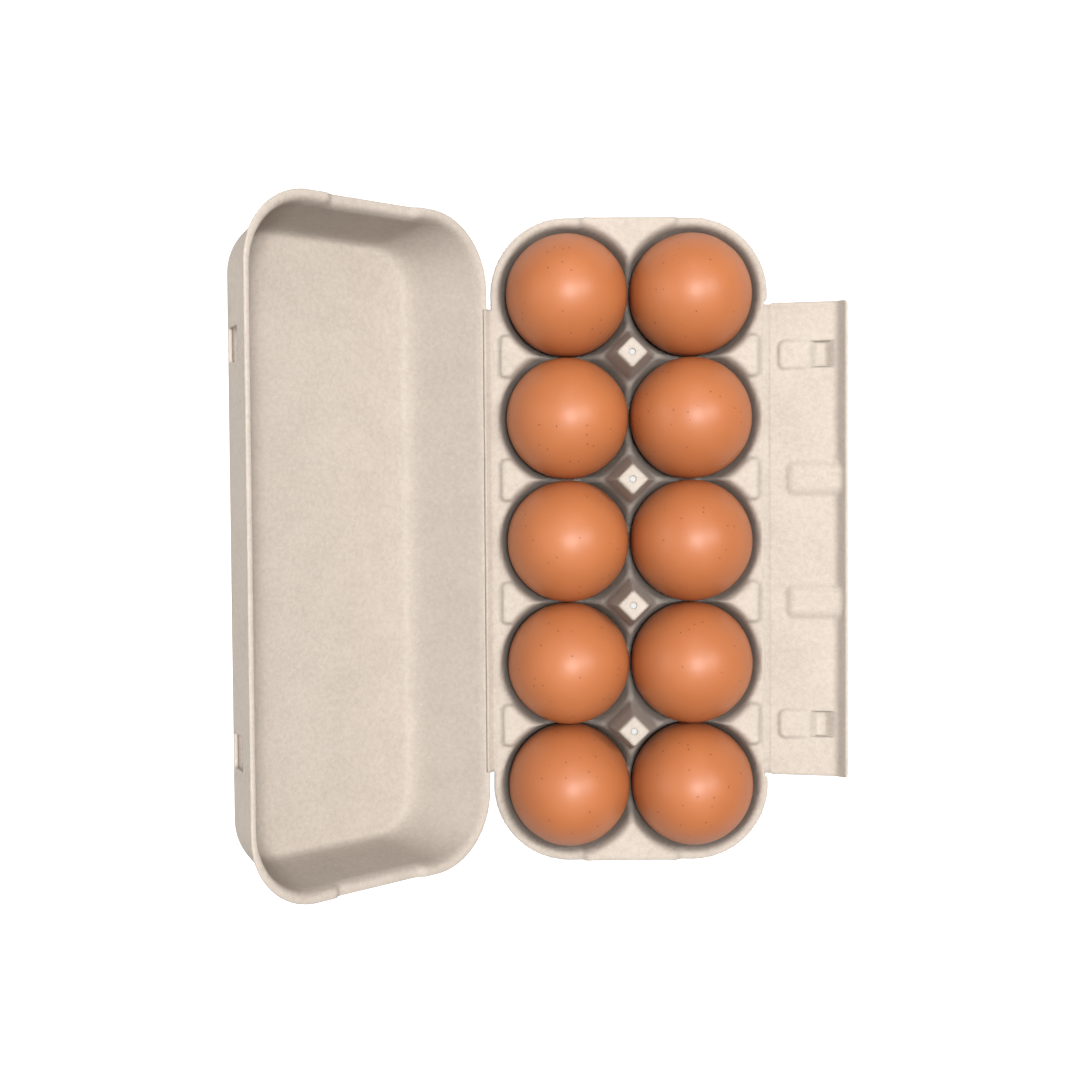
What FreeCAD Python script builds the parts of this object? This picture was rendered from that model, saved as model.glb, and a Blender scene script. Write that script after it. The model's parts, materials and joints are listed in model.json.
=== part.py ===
import FreeCAD, Part
import os
import re

import Sketcher
from FreeCAD import Placement, Rotation, Vector

# A moulded pulp carton for ten eggs, open: a tray of two rows of five cells, a deep lid hinged along
# the tray's back edge, and a lock flap along its front edge, with the ten eggs in their cells.
# Frame: Z up, X from the lid to the lock flap, Y along the rows. The origin is on the ground, at the
# middle of the open carton's footprint. Millimetres and degrees.

SIZES = (
    # eggs
    ("egg_radius", 23.2, "widest ring of an egg"),
    ("egg_upper", 26.5, "blunt end above the widest ring"),
    ("egg_lower", 33.5, "pointed end below the widest ring"),
    ("egg_sink", 3.0, "widest ring below the deck"),
    # fits between the eggs and the tray
    ("egg_gap", 0.4, "between eggs along a row"),
    ("column_gap", 0.8, "between the two rows of eggs"),
    ("egg_fit", 0.65, "from an egg to the cell wall at the rings of the cell"),
    ("egg_floor_gap", 1.0, "under an egg"),
    ("mouth_gap", 2.8, "from an egg to the mouth of its cell"),
    # tray
    ("wall", 1.5, "thickness of the tray's pulp"),
    ("rim_width", 2.8, "flange outside the mouths"),
    ("shoulder_depth", 10.0, "first ring of a cell below the deck"),
    ("waist_depth", 17.0, "second ring of a cell"),
    ("knee_depth", 24.0, "third ring of a cell"),
    ("floor_radius", 11.0, "flat floor inside a cell"),
    ("pad_rise", 1.8, "side pads and end decks above the flange"),
    ("pad_half", 8.4, "half the length of a side pad"),
    ("pad_setback", 2.8, "flange outside a side pad"),
    ("pad_slope", 1.7, "run of a pad's sloping side"),
    ("pad_inner", 10.0, "middle of a cell to the inner end of a side pad"),
    ("end_deck_half", 18.7, "half the width of an end deck"),
    ("end_deck_fit", 0.5, "from an end deck to the notch in the lid's rim"),
    ("post_rise", 18.3, "top of a post above the deck"),
    ("post_half", 5.7, "half the diagonal of a post's top"),
    ("post_flare", 4.1, "growth of that half diagonal down to the deck"),
    ("post_hole", 1.05, "radius of the hole in a post's top"),
    ("crest_drop", 12.0, "lowest point of a partition below the deck"),
    ("crest_half", 5.0, "half the level stretch of a partition's crest"),
    ("crest_clear", 0.3, "from a partition's cut to the pads and posts"),
    ("crest_cut_half", 3.6, "half the breadth of a partition's cut"),
    # lid
    ("lid_wall", 1.4, "thickness of the lid's pulp"),
    ("lid_depth", 31.5, "rim plane to the outside of the ceiling"),
    ("lid_lip", 0.75, "lip outside the front wall"),
    ("lid_end_lip", 2.1, "lip outside the end walls"),
    ("lid_lip_thickness", 1.2, "thickness of the lip"),
    ("lid_overhang", 0.1, "lid's rim beyond the tray's ends"),
    ("lid_corner", 26.0, "radius of the lid's corners at the rim"),
    ("lid_ceiling_corner", 18.0, "radius of the lid's corners at the ceiling"),
    ("lid_soft", 4.0, "bevel between the lid's ceiling and walls"),
    ("front_draft", 20.2, "lean of the lid's front wall"),
    ("back_draft", 23.1, "lean of the lid's hinge wall"),
    ("end_draft", 12.4, "lean of the lid's end walls"),
    ("lid_tilt", 44.2, "open lid's rim plane above level"),
    ("hinge_reach", 1.03, "lid's hinge line beyond the tray's edge"),
    ("hinge_rise", 0.4, "lid's hinge line above the deck"),
    ("hinge_margin", 34.4, "tray's end to the end of the lid's hinge web"),
    ("web_radius", 0.45, "half the thickness of a hinge web"),
    ("latch_fit", 0.45, "from a lock button's side to the end of its latch hole"),
    ("latch_hole_low", 13.7, "latch hole's near edge from the rim plane"),
    ("latch_hole_high", 26.5, "latch hole's far edge from the rim plane"),
    # lock flap
    ("flap_wall", 1.2, "thickness of the flap's pulp"),
    ("flap_margin", 32.4, "tray's end to the end of the flap"),
    ("flap_reach", 25.9, "fold line to the foot of the lip"),
    ("flap_lip", 4.9, "length of the turned-up lip"),
    ("flap_lip_turn", 39.0, "lip above the panel"),
    ("flap_rise", 13.0, "open flap above level"),
    ("fold_drop", 1.2, "fold line below the deck"),
    ("fold_setback", 0.1, "fold line inside the tray's edge"),
    ("fold_clear", 0.95, "fold line to the root of the flap"),
    ("flap_fit", 0.35, "shut flap to the lid's front wall"),
    ("fold_room", 1.4, "fold line to the trimmed edge of the flange"),
    ("button_half", 4.85, "half the width of a lock button's pocket"),
    ("button_near", 16.2, "near edge of a button from the fold"),
    ("button_length", 9.4, "length of a button"),
    ("button_deep", 2.4, "button below the flap"),
    ("button_floor", 2.6, "flat floor of a button"),
    ("scoop_near", 4.1, "near edge of a scoop from the fold"),
    ("scoop_half", 6.0, "half the width of a scoop"),
    ("scoop_rise", 1.4, "height of a scoop"),
    ("stiffener_near", 7.1, "near edge of a stiffening pad from the fold"),
    ("stiffener_half", 6.6, "half the width of a stiffening pad"),
    ("stiffener_rise", 1.3, "height of a stiffening pad"),
    # frame
    ("tray_shift", 30.9, "tray's middle in front of the origin"),
)
CELLS_IN_ROW = 5

# worked out once, as expressions of the sizes above
ROW_PITCH = "(2 * egg_radius + egg_gap)"
COLUMN_PITCH = "(2 * egg_radius + column_gap)"
MOUTH = "(egg_radius + mouth_gap)"
CORNER = f"({MOUTH} + rim_width)"
HALF_WIDTH = f"({COLUMN_PITCH} / 2 + {CORNER})"
HALF_LENGTH = f"({(CELLS_IN_ROW - 1) / 2} * {ROW_PITCH} + {CORNER})"
CELL_DEPTH = "(egg_sink + egg_lower + egg_floor_gap)"
DECK_HEIGHT = f"({CELL_DEPTH} + wall)"
HINGE_X = f"({HALF_WIDTH} + hinge_reach)"
FOLD_X = f"({HALF_WIDTH} - fold_setback)"
# the lid's front wall stands clear of the shut flap, which leans with it from the fold line
WALL_FRONT = (
    f"({HINGE_X} + {FOLD_X} + flap_wall / 2 / cos(front_draft) + flap_fit"
    " - (fold_drop + hinge_rise) * tan(front_draft) + lid_wall / cos(front_draft))"
)
WALL_BACK = "(2 * web_radius)"
WALL_END = f"({HALF_LENGTH} + lid_overhang - lid_end_lip)"
FLAP_HALF = f"({HALF_LENGTH} - flap_margin)"
BUTTON_HALF = "(button_half + flap_wall / 2)"
# the flap's lock buttons stand beside the last post but one from each end
LATCH_PLACE = f"({CELLS_IN_ROW / 2 - 1} * {ROW_PITCH})"

doc = FreeCAD.newDocument("EggCarton")
sheet = doc.addObject("Spreadsheet::Sheet", "Sizes")
for row, (alias, value, meaning) in enumerate(SIZES, start=1):
    sheet.set(f"A{row}", alias)
    sheet.set(f"B{row}", str(value))
    sheet.set(f"C{row}", meaning)
    sheet.setAlias(f"B{row}", alias)
doc.recompute()


def sized(expression):
    """The expression with every size named by its cell; a word before a bracket is a function."""
    angles = re.sub(r"(cos|sin|tan)\((\w+)\)", r"\1(\2 * 1 deg)", expression)
    return re.sub(r"\b(?!deg\b)([a-z][a-z_]*)\b(?!\()", r"Sizes.\1", angles)


def bind(item, **properties):
    """Bind properties to expressions of the sizes."""
    for name, expression in properties.items():
        item.setExpression(name, sized(expression))
    return item


def place(item, x="0", y="0", z="0", turn=Rotation()):
    """Turn an object and bind its position."""
    item.Placement = Placement(Vector(), turn)
    for axis, expression in zip("xyz", (x, y, z)):
        item.setExpression(f"Placement.Base.{axis}", sized(expression))
    return item


def outline(sketch, points):
    """Draw a closed run of straight lines, each corner held by two bound distances."""
    count = len(points)
    rough = [Vector(50, 0, 0)]
    for index in range(1, count):
        rough.append(Rotation(Vector(0, 0, 1), 360 * index / count).multVec(rough[0]))
    first = sketch.GeometryCount
    for index in range(count):
        sketch.addGeometry(Part.LineSegment(rough[index], rough[(index + 1) % count]), False)
    for index in range(count):
        following = first + (index + 1) % count
        sketch.addConstraint(Sketcher.Constraint("Coincident", first + index, 2, following, 1))
    for index, corner in enumerate(points):
        for kind, expression in zip(("DistanceX", "DistanceY"), corner):
            held = sketch.addConstraint(Sketcher.Constraint(kind, -1, 1, first + index, 1, 1.0))
            sketch.setExpression(f"Constraints[{held}]", sized(expression))


def rounded_outline(sketch, low_x, high_x, half_y, radius):
    """Draw a rectangle with round corners, even about the X axis."""
    size, bend = 40, 10
    first = sketch.GeometryCount
    for side in range(4):
        turn = Rotation(Vector(0, 0, 1), 90 * side)
        start = turn.multVec(Vector(size, bend - size, 0))
        end = turn.multVec(Vector(size, size - bend, 0))
        middle = turn.multVec(Vector(size - bend, size - bend, 0))
        circle = Part.Circle(middle, Vector(0, 0, 1), bend)
        angle = FreeCAD.Units.Quantity(90 * side, "deg").getValueAs("rad").Value
        quarter = FreeCAD.Units.Quantity(90, "deg").getValueAs("rad").Value
        sketch.addGeometry(Part.LineSegment(start, end), False)
        sketch.addGeometry(Part.ArcOfCircle(circle, angle, angle + quarter), False)
    for side in range(4):
        line = first + 2 * side
        arc = line + 1
        following = first + (2 * side + 2) % 8
        sketch.addConstraint(Sketcher.Constraint("Tangent", line, 2, arc, 1))
        sketch.addConstraint(Sketcher.Constraint("Tangent", arc, 2, following, 1))
        sketch.addConstraint(Sketcher.Constraint("Horizontal" if side % 2 else "Vertical", line))
        if side:
            sketch.addConstraint(Sketcher.Constraint("Equal", first + 1, arc))
    held = sketch.addConstraint(Sketcher.Constraint("Radius", first + 1, bend))
    sketch.setExpression(f"Constraints[{held}]", sized(radius))
    sides = (("DistanceX", 0, high_x), ("DistanceY", 2, half_y))
    sides += (("DistanceX", 4, low_x), ("DistanceY", 6, f"-{half_y}"))
    for kind, line, expression in sides:
        held = sketch.addConstraint(Sketcher.Constraint(kind, -1, 1, first + line, 1, 1.0))
        sketch.setExpression(f"Constraints[{held}]", sized(expression))


def upright_outline(name, points):
    """A sketch in the XZ plane."""
    sketch = doc.addObject("Sketcher::SketchObject", name)
    sketch.Placement = Placement(Vector(), Rotation(Vector(1, 0, 0), 90))
    outline(sketch, points)
    return sketch


def spun(name, sketch):
    """The sketch turned once round the Z axis."""
    solid = doc.addObject("Part::Revolution", name)
    solid.Source = sketch
    solid.Axis = Vector(0, 0, 1)
    solid.Angle = 360
    solid.Solid = True
    return solid


def bar(name, points, half_width):
    """An upright outline made as thick as a bar that is even about the XZ plane."""
    solid = doc.addObject("Part::Extrusion", name)
    solid.Base = upright_outline(f"{name}_outline", points)
    solid.DirMode = "Normal"
    solid.Symmetric = True
    solid.Solid = True
    return bind(solid, LengthFwd=f"2 * ({half_width})")


def taper(name, low, high, bottom, top):
    """A block whose bottom and top are rectangles: (x from, x to, half y) at two heights."""
    solid = doc.addObject("Part::Wedge", name)
    bind(solid, Ymin=bottom, Ymax=top)
    bind(solid, Xmin=low[0], Xmax=low[1], Zmin=f"-{low[2]}", Zmax=low[2])
    bind(solid, X2min=high[0], X2max=high[1], Z2min=f"-{high[2]}", Z2max=high[2])
    return solid


UPRIGHT = Rotation(Vector(1, 0, 0), 90)


def joined(name, shapes):
    """All the shapes as one."""
    solid = doc.addObject("Part::MultiFuse", name)
    solid.Shapes = shapes
    return solid


def cut(name, base, tool):
    """The base without the tool."""
    solid = doc.addObject("Part::Cut", name)
    solid.Base = base
    solid.Tool = tool
    return solid


def cell_places():
    """Names and places of the ten cells, about the tray's middle."""
    for side, sign in (("back", "-"), ("front", "")):
        for number in range(CELLS_IN_ROW):
            step = number - (CELLS_IN_ROW - 1) / 2
            yield f"{side}_{number + 1}", f"{sign}{COLUMN_PITCH} / 2", f"{step} * {ROW_PITCH}"


def post_steps():
    """The posts and the side pads stand half way between the cells of a row."""
    return [number - CELLS_IN_ROW / 2 + 1 for number in range(CELLS_IN_ROW - 1)]


def cell_ring(depth):
    """Inside radius of a cell at a depth: the egg's own section there and its fit."""
    return f"egg_radius * sqrt(1 - (({depth} - egg_sink) / egg_lower)^2) + egg_fit"


def cell_outline(thickness, above, floor):
    """Half section of a cell, grown by a thickness, from above the deck to the floor's depth."""
    flare = f"({MOUTH} - ({cell_ring('shoulder_depth')})) / shoulder_depth"
    points = [("0", above), (f"{MOUTH} + {thickness} + {above} * ({flare})", above)]
    for depth in ("shoulder_depth", "waist_depth", "knee_depth"):
        points.append((f"{cell_ring(depth)} + {thickness}", f"-{depth}"))
    points.append((f"floor_radius + {thickness}", f"-{floor}"))
    points.append(("0", f"-{floor}"))
    return points


# --- tray: everything is drawn about the tray's middle, with the deck at Z = 0

def deck_plate():
    """The flange, with corners round the corner cells and nothing between the rows."""
    parts = []
    span = f"{(CELLS_IN_ROW - 1) / 2} * {ROW_PITCH}"
    for name, half_x, half_y in (
        ("long", HALF_WIDTH, span),
        ("wide", f"{COLUMN_PITCH} / 2", HALF_LENGTH),
    ):
        plate = doc.addObject("Part::Box", f"deck_{name}")
        bind(plate, Length=f"2 * {half_x}", Width=f"2 * {half_y}", Height="wall")
        parts.append(place(plate, f"-{half_x}", f"-({half_y})", "-wall"))
    for name, x, y in cell_places():
        if name.endswith(("_1", f"_{CELLS_IN_ROW}")):
            disc = doc.addObject("Part::Cylinder", f"deck_corner_{name}")
            bind(disc, Radius=CORNER, Height="wall")
            parts.append(place(disc, x, y, "-wall"))
    middle = doc.addObject("Part::Box", "deck_middle")
    bind(middle, Length=COLUMN_PITCH, Width=f"2 * {span}", Height="4 * wall")
    place(middle, f"-{COLUMN_PITCH} / 2", f"-({span})", "-2 * wall")
    trim = doc.addObject("Part::Box", "deck_fold_trim")
    bind(trim, Length="4 * fold_room", Width=f"2 * ({FLAP_HALF} + flap_fit)", Height="4 * wall")
    place(trim, f"{FOLD_X} - fold_room", f"-({FLAP_HALF} + flap_fit)", "-2 * wall")
    return cut("deck", joined("deck_whole", parts), joined("deck_cuts", [middle, trim]))


def pads(name, inset, bottom, top):
    """Side pads and end decks, inset from their outer faces."""
    parts = []
    outer = f"{HALF_WIDTH} - pad_setback - {inset}"
    inner = f"{COLUMN_PITCH} / 2 + pad_inner"
    for side, turn in (("back", 180), ("front", 0)):
        for number, step in enumerate(post_steps(), start=1):
            low = (inner, outer, f"(pad_half - {inset})")
            high = (inner, f"{outer} - pad_slope", f"(pad_half - {inset} - pad_slope / 2)")
            pad = taper(f"{name}_{side}_{number}", low, high, bottom, top)
            spin = Rotation(Vector(0, 0, 1), turn).multiply(UPRIGHT)
            parts.append(place(pad, y=f"{step} * {ROW_PITCH}", turn=spin))
    for end, turn in (("left", 90), ("right", -90)):
        edge = f"{HALF_LENGTH} - {inset}"
        low = (f"{HALF_LENGTH} - {CORNER}", edge, f"(end_deck_half - {inset})")
        high = (low[0], edge, f"(end_deck_half - {inset} - pad_slope / 2)")
        deck = taper(f"{name}_{end}", low, high, bottom, top)
        parts.append(place(deck, turn=Rotation(Vector(0, 0, 1), turn).multiply(UPRIGHT)))
    return parts


def posts(name, half, flare, top, bottom):
    """Four-sided posts with their corners along X and Y, spreading downwards."""
    parts = []
    for number, step in enumerate(post_steps(), start=1):
        squares = []
        for height in (top, bottom):
            square = doc.addObject("Part::RegularPolygon", f"{name}_{number}_square")
            square.Polygon = 4
            bind(square, Circumradius=f"{half} + {flare} * (post_rise - ({height})) / post_rise")
            squares.append(place(square, y=f"{step} * {ROW_PITCH}", z=height))
        post = doc.addObject("Part::Loft", f"{name}_{number}")
        post.Sections = squares
        post.Solid = True
        post.Ruled = True
        parts.append(post)
    return parts


def crest_cuts():
    """What is cut from the partitions between cells, down to their saddles."""
    ridge = f"(post_half + post_flare * (post_rise - wall) / post_rise + crest_clear)"
    parts = []
    # between the two rows: from post to post, and from the end posts to the end decks
    post_reach = f"({ROW_PITCH} / 2 - {ridge})"
    for number in range(CELLS_IN_ROW):
        step = number - (CELLS_IN_ROW - 1) / 2
        low = ("-crest_half", "crest_half", "crest_cut_half")
        high = (f"-{post_reach}", post_reach, "crest_cut_half")
        block = taper(f"crest_rows_{number + 1}", low, high, "-crest_drop", "wall")
        turn = Rotation(Vector(0, 0, 1), 90).multiply(UPRIGHT)
        parts.append(place(block, y=f"{step} * {ROW_PITCH}", turn=turn))
    # between the cells of a row: from a post to the tip of a side pad
    tip = f"(sqrt({MOUTH}^2 - ({ROW_PITCH} / 2)^2) - crest_clear)"
    post_reach = f"({COLUMN_PITCH} / 2 - {ridge})"
    for side, turn in (("back", 180), ("front", 0)):
        for number, step in enumerate(post_steps(), start=1):
            low = ("-crest_half", "crest_half", "crest_cut_half")
            high = (f"-{post_reach}", tip, "crest_cut_half")
            block = taper(f"crest_{side}_{number}", low, high, "-crest_drop", "wall")
            spin = Rotation(Vector(0, 0, 1), turn).multiply(UPRIGHT)
            x = f"{'-' if turn else ''}{COLUMN_PITCH} / 2"
            parts.append(place(block, x, f"{step} * {ROW_PITCH}", turn=spin))
    return parts


def cells(name, points):
    """One turned solid at each of the ten cells."""
    sketch = upright_outline(f"{name}_outline", points)
    return [place(spun(f"{name}_{place_name}", sketch), x, y) for place_name, x, y in cell_places()]


def tray():
    """The tray: deck, pads and posts hollow below, then the cells' walls, then their hollows."""
    solid = [deck_plate()] + pads("pad", "0", "-wall / 2", "pad_rise")
    solid += posts("post", "post_half", "post_flare", "post_rise", "-crest_drop")
    below = pads("pad_inside", "wall", "-2 * wall", "(pad_rise - wall)")
    inside = ("(post_half - wall)", "post_flare", "post_rise - wall", "-2 * crest_drop")
    below += posts("post_inside", *inside)
    shell = cut("tray_shell", joined("tray_top", solid), joined("tray_underside", below))
    walls = cells("cell_wall", cell_outline("wall", "0", DECK_HEIGHT))
    holes = []
    for number, step in enumerate(post_steps(), start=1):
        hole = doc.addObject("Part::Cylinder", f"post_hole_{number}")
        bind(hole, Radius="post_hole", Height="4 * wall")
        holes.append(place(hole, y=f"{step} * {ROW_PITCH}", z="post_rise - 2 * wall"))
    hollows = cells("cell_hollow", cell_outline("0", "pad_rise", CELL_DEPTH))
    away = joined("tray_cuts", hollows + crest_cuts() + holes)
    body = cut("tray", joined("tray_walls", [shell] + walls), away)
    return place(body, "tray_shift", z=DECK_HEIGHT)


# --- lid: drawn shut, with the hinge line along Y through its origin and the rim plane at Z = 0

def plane(body, role):
    """An origin plane or axis of a body."""
    return next(item for item in body.Origin.OriginFeatures if item.Role == role)


def level_sketch(body, name, height="0"):
    """A sketch in a body, level at a height."""
    sketch = body.newObject("Sketcher::SketchObject", name)
    sketch.AttachmentSupport = [(plane(body, "XY_Plane"), "")]
    sketch.MapMode = "FlatFace"
    sketch.setExpression("AttachmentOffset.Base.z", sized(height))
    return sketch


def side_sketch(body, name):
    """A sketch in a body's XZ plane."""
    sketch = body.newObject("Sketcher::SketchObject", name)
    sketch.AttachmentSupport = [(plane(body, "XZ_Plane"), "")]
    sketch.MapMode = "FlatFace"
    return sketch


def lid_loft(body, kind, name, inset, top):
    """A drafted box with round corners and a bevel round its top, inset from the outside of the lid."""
    bevel = f"({top} - lid_soft / 2)"
    sections = []
    for step, height, more, radius in (
        ("rim", "0", "0", f"(lid_corner - {inset})"),
        ("bevel", bevel, "0", f"(lid_ceiling_corner - {inset})"),
        ("ceiling", top, "lid_soft", f"(lid_ceiling_corner - {inset} - lid_soft / 2)"),
    ):
        drafted = bevel if step == "ceiling" else height
        sketch = level_sketch(body, f"{name}_{step}", height)
        rounded_outline(
            sketch,
            f"({WALL_BACK} + {inset} / cos(back_draft) + {drafted} * tan(back_draft) + {more})",
            f"({WALL_FRONT} - {inset} / cos(front_draft) - {drafted} * tan(front_draft) - {more})",
            f"({WALL_END} - {inset} / cos(end_draft) - {drafted} * tan(end_draft) - {more})",
            radius,
        )
        sections.append(sketch)
    loft = body.newObject(kind, name)
    loft.Profile = sections[0]
    loft.Sections = sections[1:]
    loft.Ruled = True
    doc.recompute()
    return loft


def lid():
    """The lid: a drafted box with round corners, hollow, with a lip and two latch holes."""
    body = doc.addObject("PartDesign::Body", "lid")
    lid_loft(body, "PartDesign::AdditiveLoft", "lid_outside", "0", "lid_depth")
    lid_loft(body, "PartDesign::SubtractiveLoft", "lid_inside", "lid_wall", "(lid_depth - lid_wall)")

    lip = level_sketch(body, "lid_lip_outline")
    into_wall = "lid_wall / 2"
    rounded_outline(
        lip, WALL_BACK, f"({WALL_FRONT} + lid_lip)", f"({WALL_END} + lid_end_lip)", "(lid_corner + lid_lip)"
    )
    rounded_outline(
        lip, f"({WALL_BACK} + {into_wall})", f"({WALL_FRONT} - {into_wall})",
        f"({WALL_END} - {into_wall})", f"(lid_corner - {into_wall})",
    )
    flange = body.newObject("PartDesign::Pad", "lid_lip_band")
    flange.Profile = lip
    bind(flange, Length="lid_lip_thickness")
    doc.recompute()

    holes = body.newObject("Sketcher::SketchObject", "latch_hole_outline")
    holes.AttachmentSupport = [(plane(body, "YZ_Plane"), "")]
    holes.MapMode = "FlatFace"
    holes.setExpression("AttachmentOffset.Base.z", sized(f"{WALL_FRONT} / 2"))
    for sign in ("-", ""):
        middle = f"{sign}{LATCH_PLACE}"
        low, high = f"{middle} - ({BUTTON_HALF} + latch_fit)", f"{middle} + {BUTTON_HALF} + latch_fit"
        near, far = "latch_hole_low", "latch_hole_high"
        outline(holes, [(low, near), (high, near), (high, far), (low, far)])
    opening = body.newObject("PartDesign::Pocket", "latch_holes")
    opening.Profile = holes
    opening.Reversed = True
    bind(opening, Length=WALL_FRONT)
    doc.recompute()
    if flange.Shape.Volume - opening.Shape.Volume < 1:
        raise RuntimeError("the latch holes cut nothing")

    notch = side_sketch(body, "end_notch_outline")
    middle, reach, rise = HINGE_X, "(end_deck_half + end_deck_fit)", "pad_rise - hinge_rise + end_deck_fit"
    low, high = f"{middle} - {reach}", f"{middle} + {reach}"
    outline(notch, [(low, "-lid_wall"), (high, "-lid_wall"), (high, rise), (low, rise)])
    end_notches = body.newObject("PartDesign::Pocket", "end_notches")
    end_notches.Profile = notch
    end_notches.Midplane = True
    bind(end_notches, Length=f"4 * {HALF_LENGTH}")
    doc.recompute()
    if opening.Shape.Volume - end_notches.Shape.Volume < 1:
        raise RuntimeError("the end notches cut nothing")
    open_turn = Rotation(Vector(0, -1, 0), 180)
    place(body, f"tray_shift - {HINGE_X}", z=f"{DECK_HEIGHT} + hinge_rise", turn=open_turn)
    body.setExpression("Placement.Rotation.Angle", "(180 - Sizes.lid_tilt) * 1 deg")
    return body


# --- lock flap: drawn level, with the fold line along Y through its origin

def flap_bumps(name, points, half_width, places):
    """The same bar at several places along the flap."""
    parts = []
    for number, y in enumerate(places, start=1):
        parts.append(place(bar(f"{name}_{number}", points, half_width), y=y, turn=Rotation()))
    return parts


def lock_flap():
    """The flap: a panel with a turned-up lip, two lock buttons with scoops, and two stiffening pads."""
    top, under = "flap_wall / 2", "-flap_wall / 2"
    across = "flap_reach + flap_lip * cos(flap_lip_turn)"
    up = "flap_lip * sin(flap_lip_turn)"
    lean_x = "flap_wall * sin(flap_lip_turn)"
    lean_z = "flap_wall * cos(flap_lip_turn)"
    bend = "flap_wall * tan(flap_lip_turn / 2)"
    panel = bar(
        "flap_panel",
        [
            ("fold_clear", under),
            (f"flap_reach + {bend}", under),
            (f"{across} + {lean_x}", f"{top} + {up} - {lean_z}"),
            (across, f"{top} + {up}"),
            ("flap_reach", top),
            ("fold_clear", top),
        ],
        FLAP_HALF,
    )
    latch_places = (f"-{LATCH_PLACE}", LATCH_PLACE)
    stiffener_places = (f"-{ROW_PITCH} / 2", f"{ROW_PITCH} / 2")
    button_far = "(button_near + button_length)"
    raised = [panel]
    sunk = []
    raised += flap_bumps(
        "button",
        [
            ("button_near", "0"),
            ("button_near", under),
            ("button_near + button_deep", f"{under} - button_deep"),
            ("button_near + button_deep + button_floor", f"{under} - button_deep"),
            (button_far, under),
            (button_far, "0"),
        ],
        BUTTON_HALF,
        latch_places,
    )
    sunk += flap_bumps(
        "pocket",
        [
            ("button_near + flap_wall / 2", top),
            ("button_near + flap_wall / 2 + button_deep", f"{top} - button_deep"),
            ("button_near + button_deep + button_floor", f"{top} - button_deep"),
            (f"{button_far} - flap_wall / 2", top),
            (f"{button_far} - flap_wall / 2", f"{top} + flap_wall"),
            ("button_near + flap_wall / 2", f"{top} + flap_wall"),
        ],
        "button_half",
        latch_places,
    )
    raised += flap_bumps(
        "scoop",
        [
            ("scoop_near", "0"),
            ("button_near", "0"),
            ("button_near", top),
            ("scoop_near + scoop_rise / 2", f"{top} + scoop_rise"),
            ("scoop_near", top),
        ],
        "scoop_half",
        latch_places,
    )
    sunk += flap_bumps(
        "scoop_dent",
        [
            ("scoop_near + flap_wall", f"{under} - flap_wall"),
            ("button_near - flap_wall", f"{under} - flap_wall"),
            ("button_near - flap_wall", under),
            ("scoop_near + flap_wall + scoop_rise / 2", f"{under} + scoop_rise - flap_wall / 3"),
            ("scoop_near + flap_wall", under),
        ],
        "scoop_half - flap_wall",
        latch_places,
    )
    raised += flap_bumps(
        "stiffener",
        [
            ("stiffener_near", "0"),
            ("flap_reach + flap_wall / 2", "0"),
            ("flap_reach + stiffener_rise", f"{top} + stiffener_rise"),
            ("stiffener_near + stiffener_rise", f"{top} + stiffener_rise"),
            ("stiffener_near", top),
        ],
        "stiffener_half",
        stiffener_places,
    )
    sunk += flap_bumps(
        "stiffener_dent",
        [
            ("stiffener_near + flap_wall", f"{under} - flap_wall"),
            ("flap_reach", f"{under} - flap_wall"),
            ("flap_reach", f"{under} + stiffener_rise - flap_wall / 3"),
            ("stiffener_near + flap_wall + stiffener_rise", f"{under} + stiffener_rise - flap_wall / 3"),
            ("stiffener_near + flap_wall", under),
        ],
        "stiffener_half - flap_wall",
        stiffener_places,
    )
    body = cut("lock_flap", joined("flap_raised", raised), joined("flap_sunk", sunk))
    turn = Rotation(Vector(0, -1, 0), 10)
    place(body, f"tray_shift + {FOLD_X}", z=f"{DECK_HEIGHT} - fold_drop", turn=turn)
    body.setExpression("Placement.Rotation.Angle", "Sizes.flap_rise * 1 deg")
    return body


# --- hinge webs and eggs

def web(name, x, z, half_length):
    """The thin web of pulp that a fold turns on."""
    rod = doc.addObject("Part::Cylinder", name)
    bind(rod, Radius="web_radius", Height=f"2 * {half_length}")
    return place(rod, x, half_length, z, Rotation(Vector(1, 0, 0), 90))


def egg(name, x, y):
    """An egg, blunt end up: two half ellipsoids that meet at its widest ring."""
    halves = []
    for part, height, low, high in (("upper", "egg_upper", 0, 90), ("lower", "egg_lower", -90, 0)):
        half = doc.addObject("Part::Ellipsoid", f"{name}_{part}")
        half.Angle1 = low
        half.Angle2 = high
        halves.append(bind(half, Radius1=height, Radius2="egg_radius", Radius3="egg_radius"))
    whole = joined(name, halves)
    return place(whole, f"tray_shift + {x}", y, f"{DECK_HEIGHT} - egg_sink")


nodes = [tray(), lid(), lock_flap()]
for name, x, rise, half_length in (
    ("lid_hinge", f"-{HINGE_X}", "+ hinge_rise", f"({HALF_LENGTH} - hinge_margin)"),
    ("flap_hinge", FOLD_X, "- fold_drop", FLAP_HALF),
):
    nodes.append(web(name, f"tray_shift + {x}", f"{DECK_HEIGHT} {rise}", half_length))
for place_name, x, y in cell_places():
    nodes.append(egg(f"egg_{place_name}", x, y))
doc.recompute()

for item in doc.Objects:
    if "Invalid" in item.State or "Error" in item.State:
        raise RuntimeError(f"{item.Name}: {item.State}")
os.makedirs("parts", exist_ok=True)
for node in nodes:
    node.Label = node.Name
    shape = node.Shape
    if shape.isNull() or not shape.isValid():
        raise RuntimeError(f"{node.Label} has no sound shape")
    print(f"{node.Label}: {len(shape.Solids)} solid, {shape.Volume:.0f} mm3, {shape.BoundBox}")
    shape.exportStep(f"parts/{node.Label}.step")
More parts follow.
